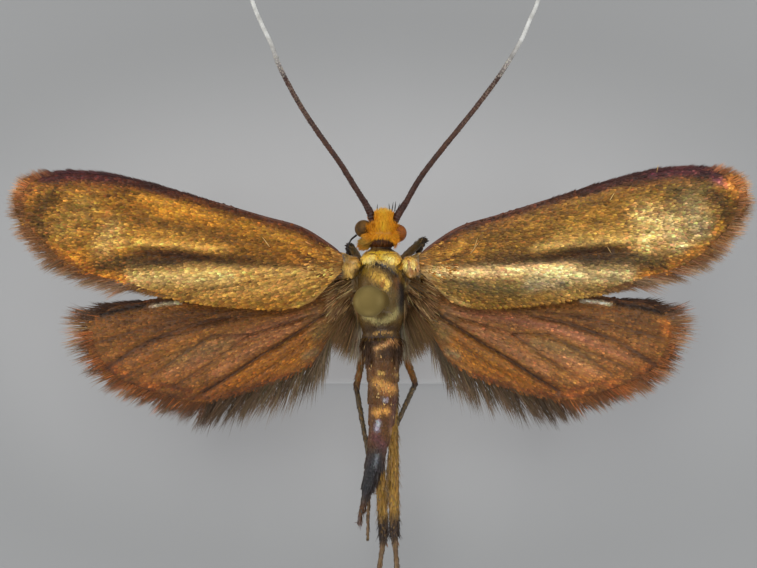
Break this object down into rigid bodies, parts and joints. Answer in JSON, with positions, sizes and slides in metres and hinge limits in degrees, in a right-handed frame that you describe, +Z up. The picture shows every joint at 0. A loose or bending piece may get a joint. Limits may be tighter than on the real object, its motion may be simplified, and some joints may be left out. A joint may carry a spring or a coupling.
{
  "type": "pinned longhorn moth specimen",
  "caption": "Small metallic brassy moth with long feelers, spread fringed wings and trailing legs, pinned over a plain block.",
  "frame": {"origin": "on the underside of the stand's block, on the axis of the pin", "axes": "+X towards the moth's right wing, +Y towards its head, +Z up"},
  "size_m": [0.02, 0.0221, 0.0081],
  "materials": {
    "stand_base": "matt pale grey",
    "stand_pin": "dull, slightly tarnished metal",
    "thorax": "overlapping metallic gold scales on dry cuticle",
    "abdomen": "dark brown rings with gold and purple sheen",
    "head": "rough orange hair scales",
    "eye": "glossy, finely faceted",
    "antenna": "dark purplish brown, whitish towards the tip",
    "forewing": "dry membrane under brassy metallic scales",
    "hindwing": "dry membrane under copper-brown scales",
    "leg": "ochre and dark brown scales on thin dry cuticle"
  },
  "bodies": {
    "root": {"stand_base": "stand_base", "stand_rod": "stand_pin", "stand_pin": "stand_pin", "thorax": "thorax", "abdomen": "abdomen", "head": "head", "eye_left": "eye", "eye_right": "eye", "antenna_left": "antenna", "antenna_right": "antenna", "palp_left": "head", "palp_right": "head", "proboscis": "leg", "foreleg_left": "leg", "foreleg_right": "leg", "midleg_left": "leg", "midleg_right": "leg", "hindleg_left": "leg", "hindleg_right": "leg", "forewing_left": "forewing", "forewing_right": "forewing", "hindwing_left": "hindwing", "hindwing_right": "hindwing"}
  },
  "joints": []
}
